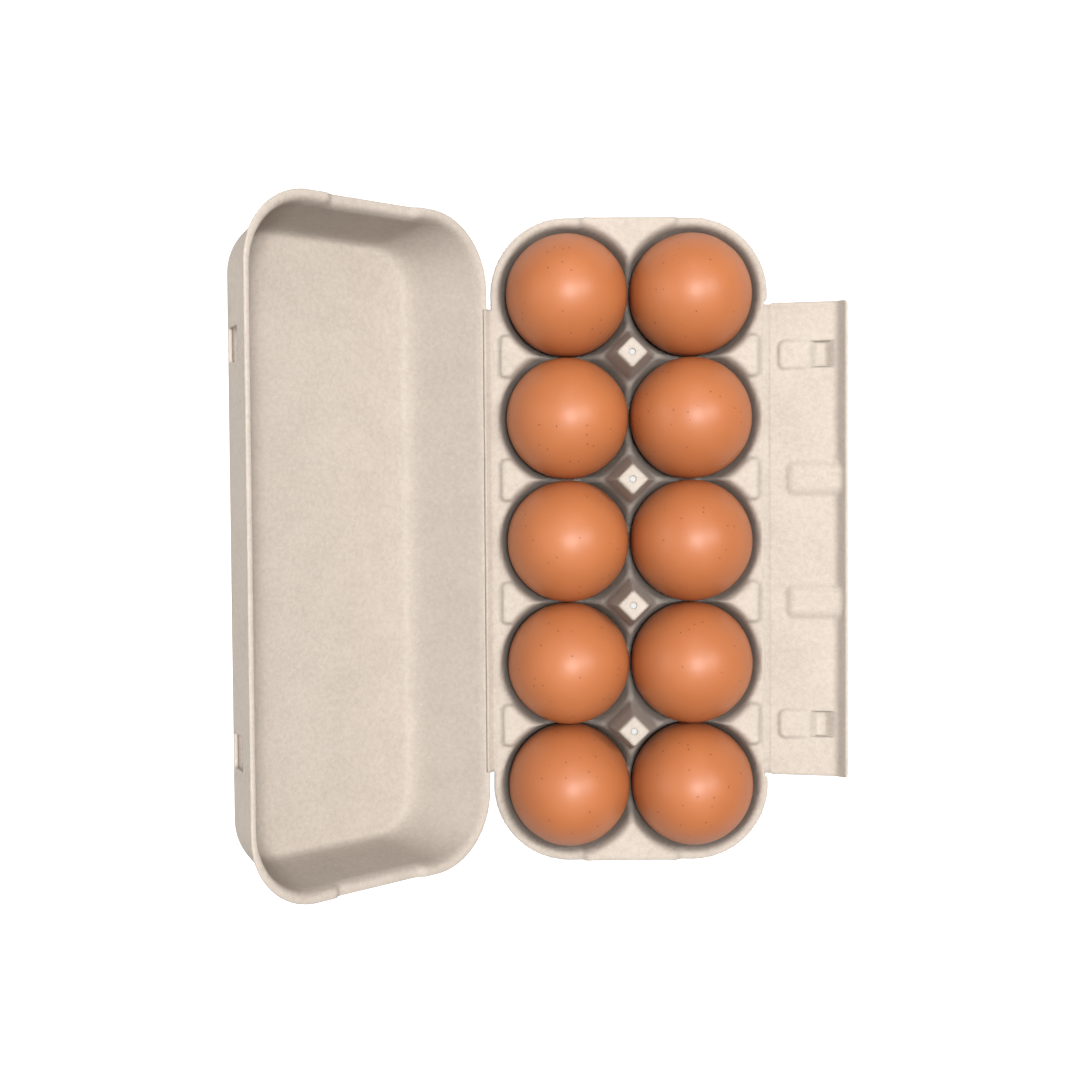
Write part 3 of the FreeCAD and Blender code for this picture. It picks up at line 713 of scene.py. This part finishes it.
# %% The pulp's finish
def linear(red, green, blue):
    """A display colour of 0 to 255 as the linear colour that nodes use."""
    parts = []
    for part in (red, green, blue):
        share = part / 255
        parts.append(share / 12.92 if share <= 0.04045 else ((share + 0.055) / 1.055) ** 2.4)
    return (*parts, 1.0)


def noise(bench, spot, scale, detail, roughness=0.5, distortion=0.0):
    """Noise whose scale is in features a millimetre."""
    values = {"Vector": spot, "Scale": scale, "Detail": detail, "Roughness": roughness}
    return bench.node("ShaderNodeTexNoise", {}, {**values, "Distortion": distortion})


def blend_colours(bench, share, first, second):
    """One colour turned into another by a share."""
    return bench.node(
        "ShaderNodeMix", {"data_type": "RGBA"}, {0: share, 6: first, 7: second}, out=2
    )


def new_finish(name):
    """A new material: its bench, its shader node, and where it is on the object in millimetres."""
    material = bpy.data.materials.new(name)
    material.use_nodes = True
    bench = Bench(material.node_tree)
    shader = material.node_tree.nodes["Principled BSDF"]
    place = bench.node("ShaderNodeTexCoord", out="Object")
    spot = bench.node(
        "ShaderNodeVectorMath", {"operation": "SCALE"}, {"Vector": place, "Scale": 1 / MM}
    )
    return material, bench, shader, spot


def pulp_finish(name, pale, darker):
    """Matte moulded pulp."""
    material, bench, shader, spot = new_finish(name)
    clouds = noise(bench, spot, 0.07, 3)
    mottle = noise(bench, spot, 0.55, 5, 0.7)
    fibres = noise(bench, spot, 2.0, 3, 0.7, 2.0)
    tone = clouds * 0.3 + mottle * 0.9 + fibres * 0.9 - 0.55
    colour = blend_colours(bench, tone, darker, pale)
    cells = {"Vector": spot, "Scale": 0.33, "Randomness": 1.0}
    distance = bench.node("ShaderNodeTexVoronoi", {}, cells, out="Distance")
    chance = bench.node("ShaderNodeTexVoronoi", {}, cells, out="Color")
    chance = bench.node("ShaderNodeSeparateColor", {}, {"Color": chance})
    fleck = (distance < 0.09) * (chance > 0.8) * 0.35
    colour = blend_colours(bench, fleck, colour, linear(150, 130, 115))
    # Painted shade: the sheet's attribute turns the colour towards a dark grey in the cells, on the posts and
    # on slopes.
    painted_shade = bench.node("ShaderNodeAttribute", {"attribute_name": "painted_shade"}, out=2)
    colour = blend_colours(bench, painted_shade * 0.6, colour, linear(104, 102, 98))
    bench.tree.links.new(colour.socket, shader.inputs["Base Color"])
    relief = mottle * 0.6 + fibres * 0.5 + clouds * 0.8
    bump = bench.node("ShaderNodeBump", {}, {"Strength": 0.35, "Distance": 0.0006, "Height": relief})
    bench.tree.links.new(bump.socket, shader.inputs["Normal"])
    shader.inputs["Roughness"].default_value = 0.92
    shader.inputs["Specular IOR Level"].default_value = 0.25
    return material


pulp = pulp_finish("pulp", linear(192, 181, 170), linear(154, 144, 133))

# %% [markdown]
# ## Eggs
# An egg is two half ellipsoids that share their widest ring: a blunt end above and a longer end below. A
# Geometry Nodes tree shapes a ball by that rule, with its sizes as named inputs, and adds the slight
# unevenness of a real shell. The tree is run once for each egg, because each egg can be lifted by itself.

# %% The rule for an egg
def egg_tree():
    """A tree that shapes one egg."""
    tree = bpy.data.node_groups.new("egg_shape", "GeometryNodeTree")
    tree.is_modifier = True
    tree.interface.new_socket("Geometry", in_out="OUTPUT", socket_type="NodeSocketGeometry")
    for name, kind in (
        ("Radius", "Float"), ("Above", "Float"), ("Below", "Float"), ("Unevenness", "Float"),
        ("Seed", "Float"), ("Place", "Vector"), ("Shell", "Material"),
    ):
        tree.interface.new_socket(name, in_out="INPUT", socket_type=f"NodeSocket{kind}")
    bench = Bench(tree)
    given = tree.nodes.new("NodeGroupInput")
    inputs = {socket.name: Wire(bench, socket) for socket in given.outputs if socket.name}
    ball = bench.node("GeometryNodeMeshIcoSphere", {}, {"Radius": 1.0, "Subdivisions": 6})
    spot = bench.node("GeometryNodeInputPosition")
    parts = tree.nodes.new("ShaderNodeSeparateXYZ")
    tree.links.new(spot.socket, parts.inputs[0])
    across_x, across_y, up = (Wire(bench, socket) for socket in parts.outputs)
    above = up > 0
    rise = up * (above * inputs["Above"] + (1 - above) * inputs["Below"])
    wave = bench.node(
        "ShaderNodeTexNoise", {"noise_dimensions": "4D"},
        {"Vector": spot, "W": inputs["Seed"], "Scale": 1.1, "Detail": 1.0},
    )
    swell = inputs["Radius"] + (wave - 0.5) * inputs["Unevenness"]
    shaped = bench.node(
        "ShaderNodeCombineXYZ", {}, {"X": across_x * swell, "Y": across_y * swell, "Z": rise}
    )
    placed = bench.node("ShaderNodeVectorMath", {"operation": "ADD"}, {0: shaped, 1: inputs["Place"]})
    egg = bench.node("GeometryNodeSetPosition", {}, {"Geometry": ball, "Position": placed})
    egg = bench.node("GeometryNodeSetShadeSmooth", {}, {"Geometry": egg, "Shade Smooth": True})
    shade = bench.node(
        "GeometryNodeStoreNamedAttribute", {"data_type": "FLOAT", "domain": "POINT"},
        {"Geometry": egg, "Name": "egg_seed", "Value": inputs["Seed"]},
    )
    egg = bench.node("GeometryNodeRealizeInstances", {}, {"Geometry": shade})
    egg = bench.node("GeometryNodeSetMaterial", {}, {"Geometry": egg, "Material": inputs["Shell"]})
    result = tree.nodes.new("NodeGroupOutput")
    tree.links.new(egg.socket, result.inputs[0])
    return tree


def shell_finish():
    """A brown egg's shell: satin, mottled, with fine pores and a few dark specks."""
    material, bench, shader, spot = new_finish("egg_shell")
    seed = bench.node("ShaderNodeAttribute", {"attribute_name": "egg_seed"}, out="Fac")
    clouds = noise(bench, spot, 0.05, 2)
    grain = noise(bench, spot, 1.6, 3, 0.6)
    own = bench.node("ShaderNodeMath", {"operation": "SINE"}, {0: seed * 7})
    tone = clouds * 0.7 + grain * 0.25 + own * 0.12
    colour = blend_colours(bench, tone, linear(158, 91, 53), linear(176, 107, 64))
    cells = {"Vector": spot, "Scale": 0.35, "Randomness": 1.0}
    distance = bench.node("ShaderNodeTexVoronoi", {}, cells, out="Distance")
    chance = bench.node("ShaderNodeTexVoronoi", {}, cells, out="Color")
    chance = bench.node("ShaderNodeSeparateColor", {}, {"Color": chance})
    speck = (distance < 0.13) * (chance > 0.7) * 0.65
    colour = blend_colours(bench, speck, colour, linear(92, 48, 28))
    bench.tree.links.new(colour.socket, shader.inputs["Base Color"])
    bump = bench.node("ShaderNodeBump", {}, {"Strength": 0.12, "Distance": 0.0003, "Height": grain})
    bench.tree.links.new(bump.socket, shader.inputs["Normal"])
    shader.inputs["Roughness"].default_value = 0.44
    shader.inputs["Specular IOR Level"].default_value = 0.42
    return material


shell = shell_finish()
egg_rule = egg_tree()
inputs = {item.name: item.identifier for item in egg_rule.interface.items_tree if item.in_out == "INPUT"}
EGG_ABOVE = 26.5
EGG_SINK = DECK - egg_high.z + EGG_ABOVE
eggs = []
for number, node in enumerate(sorted(name for name in frame["nodes"] if name.startswith("egg_"))):
    low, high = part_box(node)
    widest = DECK * MM - EGG_SINK * MM
    holder = bpy.data.objects.new(f"{node}_rule", bpy.data.meshes.new(node))
    bpy.context.scene.collection.objects.link(holder)
    rule = holder.modifiers.new("egg", "NODES")
    rule.node_group = egg_rule
    rule[inputs["Radius"]] = (high.x - low.x) / 2
    rule[inputs["Above"]] = high.z - widest
    rule[inputs["Below"]] = widest - low.z
    rule[inputs["Unevenness"]] = 0.0006
    rule[inputs["Seed"]] = float(number)
    rule[inputs["Place"]] = ((low.x + high.x) / 2, (low.y + high.y) / 2, widest)
    rule[inputs["Shell"]] = shell
    evaluated = holder.evaluated_get(bpy.context.evaluated_depsgraph_get())
    mesh = bpy.data.meshes.new_from_object(evaluated)
    bpy.data.objects.remove(holder)
    egg = bpy.data.objects.new(f"{node}_shell", mesh)
    bpy.context.scene.collection.objects.link(egg)
    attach(egg, node)
    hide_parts(node)
    eggs.append(egg)
print(f"{len(eggs)} eggs of {len(eggs[0].data.polygons)} faces")

# %% [markdown]
# ## Joining the pieces to the bodies
# Each sheet stands for its CAD node and moves with that node's body.

# %% Ride and replace
for piece, body in ((tray, "tray"), (lid, "lid"), (flap, "lock_flap")):
    piece.data.materials.append(pulp)
    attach(piece, body)
    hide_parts(body)
lid_ends = ((tray_back, DECK - 0.6), from_fold(LID_AXIS, 0.9, math.pi - LID_TILT))
flap_ends = ((MIDDLE + FOLD_EDGE, DECK - 0.8), from_fold(FLAP_AXIS, 1.2, FLAP_TILT))
for strip, body, node, (near, far) in (
    (lid_strip, "lid", "lid_hinge", lid_ends),
    (flap_strip, "lock_flap", "flap_hinge", flap_ends),
):
    strip.data.materials.append(pulp)
    start = (near[0] * MM, 0, near[1] * MM)
    end = (far[0] * MM, 0, far[1] * MM)
    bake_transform(strip)
    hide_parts(node)

# %% [markdown]
# ## Floor, light and camera
# The carton stands on a plain white floor. A softbox overhead and one high on the right give the eggs their
# double glow, two weaker boxes fill the far side and the lid's outer wall, and the sky is brightest overhead.
# Floor and sky look white to the camera but give little light, so that the cells keep their shadows.

# %% The studio
FLOOR_SEEN, FLOOR_GLOW = 0.85, 0.02
SKY_TOP, SKY_REST = 1.35, 0.03


def floor_plane():
    """A large plain floor just under the carton."""
    mesh = bpy.data.meshes.new("floor")
    half = 3.0
    corners = [(-half, -half, 0), (half, -half, 0), (half, half, 0), (-half, half, 0)]
    mesh.from_pydata(corners, [], [(0, 1, 2, 3)])
    floor = bpy.data.objects.new("floor", mesh)
    bpy.context.scene.collection.objects.link(floor)
    material = bpy.data.materials.new("floor_paper")
    material.use_nodes = True
    shader = material.node_tree.nodes["Principled BSDF"]
    shader.inputs["Base Color"].default_value = (0.4, 0.4, 0.4, 1)
    shader.inputs["Roughness"].default_value = 0.9
    shader.inputs["Emission Color"].default_value = (1, 1, 1, 1)
    bench = Bench(material.node_tree)
    seen = bench.node("ShaderNodeLightPath", out="Is Camera Ray")
    glow = seen * FLOOR_SEEN + FLOOR_GLOW
    material.node_tree.links.new(glow.socket, shader.inputs["Emission Strength"])
    floor.data.materials.append(material)
    return floor


def softbox(name, place, target, size, power):
    """A square area light that faces a target."""
    light = bpy.data.lights.new(name, "AREA")
    light.shape = "SQUARE"
    light.size = size
    light.energy = power
    lamp = bpy.data.objects.new(name, light)
    lamp.location = place
    lamp.rotation_euler = (Vector(target) - Vector(place)).to_track_quat("-Z", "Y").to_euler()
    bpy.context.scene.collection.objects.link(lamp)
    return lamp


floor = floor_plane()
softbox("overhead", (0.13, 0.08, 1.55), (0.03, 0, 0.04), 0.3, 23)
softbox("side", (0.85, 0.26, 1.27), (0.03, 0, 0.04), 0.24, 9)
softbox("far_fill", (0.1, 1.3, 1.3), (0.0, 0, 0.04), 0.8, 4)
softbox("left_fill", (-1.3, 0.1, 0.5), (-0.1, 0, 0.08), 0.8, 9)
world = bpy.data.worlds.new("studio")
bpy.context.scene.world = world
world.use_nodes = True
sky = Bench(world.node_tree)
direction = sky.node("ShaderNodeTexCoord", out="Generated")
parts = sky.node("ShaderNodeSeparateXYZ", {}, {0: direction}, out=2)
height = sky.node("ShaderNodeMath", {"operation": "MAXIMUM"}, {0: parts, 1: 0.0})
glow = world.node_tree.nodes["Background"]
glow.inputs["Color"].default_value = (1, 1, 1, 1)
seen = sky.node("ShaderNodeLightPath", out="Is Camera Ray")
strength = (height * height * height * SKY_TOP + SKY_REST) * (1 - seen) + seen
world.node_tree.links.new(strength.socket, glow.inputs["Strength"])
bpy.context.scene.view_settings.view_transform = "Standard"

# %% The camera
CAMERA_PLACE = Vector((-0.006739, 0.019806, 0.610656))
LOOK = Vector((0.00573475, -0.0336247, -0.99941808))
UP = Vector((0.00731393, 0.99940919, -0.03358243))
camera_data = bpy.data.cameras.new("camera")
camera_data.lens = 50.04
camera_data.sensor_width = 36
camera = bpy.data.objects.new("camera", camera_data)
right = LOOK.cross(UP).normalized()
up = right.cross(LOOK)
turn = Matrix((right, up, -LOOK)).transposed()
camera.matrix_world = Matrix.Translation(CAMERA_PLACE) @ turn.to_4x4()
bpy.context.scene.collection.objects.link(camera)
bpy.context.scene.camera = camera
